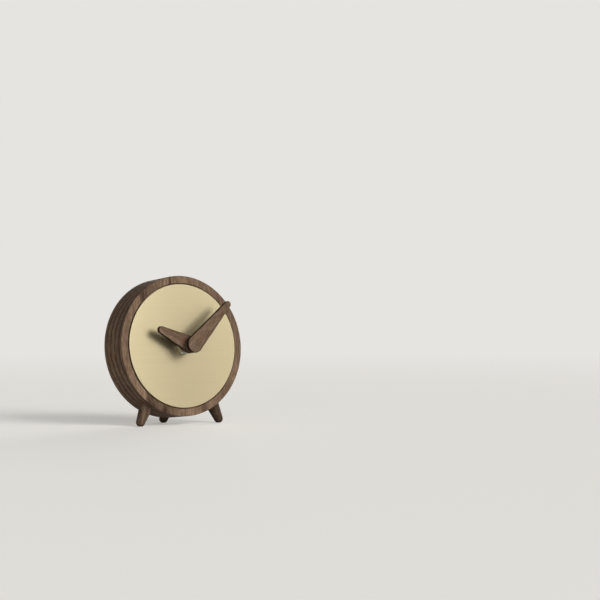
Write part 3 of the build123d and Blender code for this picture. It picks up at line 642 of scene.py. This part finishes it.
def cross_outline(centre, reach, half_width):
    """A plus sign's outline."""
    quarter = [(reach, -half_width), (reach, half_width), (half_width, half_width)]
    points = []
    for turn in range(4):
        for x, z in quarter:
            for _ in range(turn):
                x, z = -z, x
            points.append((centre[0] + x, centre[1] + z))
    return points


def bar_outline(centre, reach, half_width):
    return [
        (centre[0] + x * reach, centre[1] + z * half_width)
        for x, z in ((1, -1), (1, 1), (-1, 1), (-1, -1))]


class Shape:
    """Vertices in the clock's upright frame and faces, gathered into one mesh."""

    def __init__(self):
        self.points = []
        self.faces = []

    def loop(self, outline, depth):
        """A loop of vertices at a depth; gives their numbers."""
        first = len(self.points)
        self.points += [clock_frame @ Vector((x, depth, z)) for x, z in outline]
        return list(range(first, len(self.points)))

    def band(self, first, second):
        """Faces between two loops with as many vertices."""
        for number in range(len(first)):
            after = (number + 1) % len(first)
            self.faces.append((first[number], first[after], second[after], second[number]))

    def prism(self, outline, front, back):
        """A closed solid between two depths."""
        low, high = self.loop(outline, front), self.loop(outline, back)
        self.band(low, high)
        self.faces += [tuple(low[::-1]), tuple(high)]

    def frame(self, outer, inner, front, back):
        """A closed ring-shaped solid between two depths; both outlines have as many points."""
        loops = [
            self.loop(outline, depth)
            for outline, depth in ((outer, front), (outer, back), (inner, back), (inner, front))]
        for number, first in enumerate(loops):
            self.band(first, loops[(number + 1) % len(loops)])

    def made(self, name, material, softening):
        """What was gathered, as a piece with softened edges."""
        mesh = bpy.data.meshes.new(name)
        mesh.from_pydata(self.points, [], self.faces)
        shaper = bmesh.new()
        shaper.from_mesh(mesh)
        bmesh.ops.recalc_face_normals(shaper, faces=shaper.faces)
        shaper.to_mesh(mesh)
        shaper.free()
        mesh.materials.append(material)
        piece = new_object(name, mesh)
        bevel = piece.modifiers.new("softened edges", "BEVEL")
        bevel.width = softening
        bevel.segments = moulding_bevel_segments
        bevel.limit_method = "ANGLE"
        return piece


moulding_height = 0.3 * mm
moulding_root = 0.05 * mm
moulding_softening = 0.08 * mm
moulding_bevel_segments = 2
border_inset = 2.4 * mm
border_width = 0.5 * mm
border_corner_radius = 1.6 * mm
knob_ring_gap = 0.9 * mm
knob_ring_width = 0.7 * mm
pin_mark_inset = 6.0 * mm
pin_mark_radius = 1.5 * mm
pin_mark_width = 0.25 * mm
pin_mark_height = moulding_height / 2
sign_reach = 1.6 * mm
sign_half_width = 0.36 * mm
sign_inset = 4.6 * mm
sign_rise = 4.4 * mm


def make_cover_mouldings():
    """The border, the ring round the knob, two pin marks and the signs at the cell's ends."""
    cover_low, cover_high = span("movement_cover")
    knob_low, knob_high = span("set_knob")
    front, back = cover_high.y - moulding_root, cover_high.y + moulding_height
    knob_centre = ((knob_low.x + knob_high.x) / 2, (knob_low.z + knob_high.z) / 2)
    ring_radius = (knob_high.x - knob_low.x) / 2 + knob_ring_gap
    bay_top = cover_low.z
    shape = Shape()
    knob_ring = circle_outline(knob_centre, ring_radius + knob_ring_width)
    shape.frame(knob_ring, circle_outline(knob_centre, ring_radius), front, back)
    low = (cover_low.x + border_inset, bay_top + border_inset)
    high = (cover_high.x - border_inset, cover_high.z - border_inset)
    inner_low = (low[0] + border_width, low[1] + border_width)
    inner_high = (high[0] - border_width, high[1] - border_width)
    shape.frame(
        rounded_outline(low, high, border_corner_radius),
        rounded_outline(inner_low, inner_high, border_corner_radius - border_width), front, back)
    for x in (cover_low.x + pin_mark_inset, cover_high.x - pin_mark_inset):
        centre = (x, cover_high.z - pin_mark_inset)
        inner_circle = circle_outline(centre, pin_mark_radius - pin_mark_width)
        shape.frame(
            circle_outline(centre, pin_mark_radius), inner_circle, front,
            cover_high.y + pin_mark_height)
    plus_side = 1 if cap_on_right else -1
    middle = (cover_low.x + cover_high.x) / 2
    reach = (cover_high.x - cover_low.x) / 2 - border_inset - sign_inset
    sign_height = bay_top + border_inset + sign_rise
    plus_centre = (middle + plus_side * reach, sign_height)
    minus_centre = (middle - plus_side * reach, sign_height)
    shape.prism(cross_outline(plus_centre, sign_reach, sign_half_width), front, back)
    shape.prism(bar_outline(minus_centre, sign_reach, sign_half_width), front, back)
    mouldings = shape.made("cover_mouldings", slot_materials["cover_plastic"], moulding_softening)
    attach(mouldings, "case")


make_cover_mouldings()


# Stage and light

background_colour = from_srgb(230, 228, 224)
floor_colour = from_srgb(230, 228, 223)
floor_radius = 6.0
floor_sides = 96
floor_fade_start = 0.3
floor_fade_end = 1.8
floor_lift = 0.36
world_strength = 0.1

# Each lamp: its name, the direction towards it, its width in degrees and its strength
lamps = (
    ("key", (0.30, -0.85, 0.44), 32, 1.75),
    ("fill", (-0.15, -0.95, 0.3), 60, 0.95),
    ("glint", (-0.8, -0.59, 0.12), 20, 0.15),
    ("back", (0.8, 0.6, 0.05), 50, 3.0),
)


def seen(tree):
    """One where the camera looks, straight or through gloss or glass, and nought for other light."""
    path = tree.nodes.new("ShaderNodeLightPath")
    straight = maths(tree, "MAXIMUM", path.outputs["Is Camera Ray"], path.outputs["Is Glossy Ray"])
    return maths(tree, "MAXIMUM", straight, path.outputs["Is Transmission Ray"])


def make_floor():
    """A matt floor that fades into the backdrop away from the clock."""
    edge = [(x, y, 0) for x, y in circle_points(floor_radius, floor_sides)]
    points = [(0, 0, 0)] + edge
    faces = [(0, turn + 1, (turn + 1) % floor_sides + 1) for turn in range(floor_sides)]
    mesh = bpy.data.meshes.new("floor")
    mesh.from_pydata(points, [], faces)
    floor = new_object("floor", mesh)
    material = bpy.data.materials.new("floor")
    material.use_nodes = True
    tree = material.node_tree
    tree.nodes.clear()
    matt = add(tree, "BsdfDiffuse", Color=floor_colour)
    lift_strength = maths(tree, "MULTIPLY", seen(tree), floor_lift)
    lift = add(tree, "Emission", Color=floor_colour, Strength=lift_strength)
    lit = add(tree, "AddShader", i0=matt.outputs[0], i1=lift.outputs[0])
    glow = add(tree, "Emission", Color=background_colour, Strength=1.0)
    coordinates = tree.nodes.new("ShaderNodeTexCoord")
    away = add(tree, "VectorMath", {"operation": "LENGTH"}, i0=coordinates.outputs["Object"])
    fade = ranged(tree, away.outputs["Value"], floor_fade_start, floor_fade_end)
    glow_share = maths(tree, "MULTIPLY", fade, seen(tree))
    surface = add(tree, "MixShader", i0=glow_share, i1=lit.outputs[0], i2=glow.outputs[0])
    output = tree.nodes.new("ShaderNodeOutputMaterial")
    tree.links.new(surface.outputs[0], output.inputs["Surface"])
    mesh.materials.append(material)


def make_world():
    """A dim even light, with a pale backdrop where the camera and glossy surfaces look."""
    world = bpy.data.worlds.new("studio")
    bpy.context.scene.world = world
    world.use_nodes = True
    tree = world.node_tree
    tree.nodes.clear()
    room = add(tree, "Background", Color=(1, 1, 1, 1), Strength=world_strength)
    backdrop = add(tree, "Background", Color=background_colour, Strength=1.0)
    surface = add(tree, "MixShader", i0=seen(tree), i1=room.outputs[0], i2=backdrop.outputs[0])
    output = tree.nodes.new("ShaderNodeOutputWorld")
    tree.links.new(surface.outputs[0], output.inputs["Surface"])


def make_sun(name, direction, width, strength):
    """A wide soft light from far away in a direction."""
    data = bpy.data.lights.new(name, "SUN")
    data.angle = radians(width)
    data.energy = strength
    lamp = bpy.data.objects.new(name, data)
    towards = Vector(direction).normalized()
    lamp.location = clock_frame.translation + towards
    lamp.rotation_mode = "QUATERNION"
    lamp.rotation_quaternion = (-towards).to_track_quat("-Z", "Y")
    bpy.context.collection.objects.link(lamp)


make_floor()
make_world()
for lamp in lamps:
    make_sun(*lamp)

bpy.context.scene.view_settings.view_transform = "Standard"
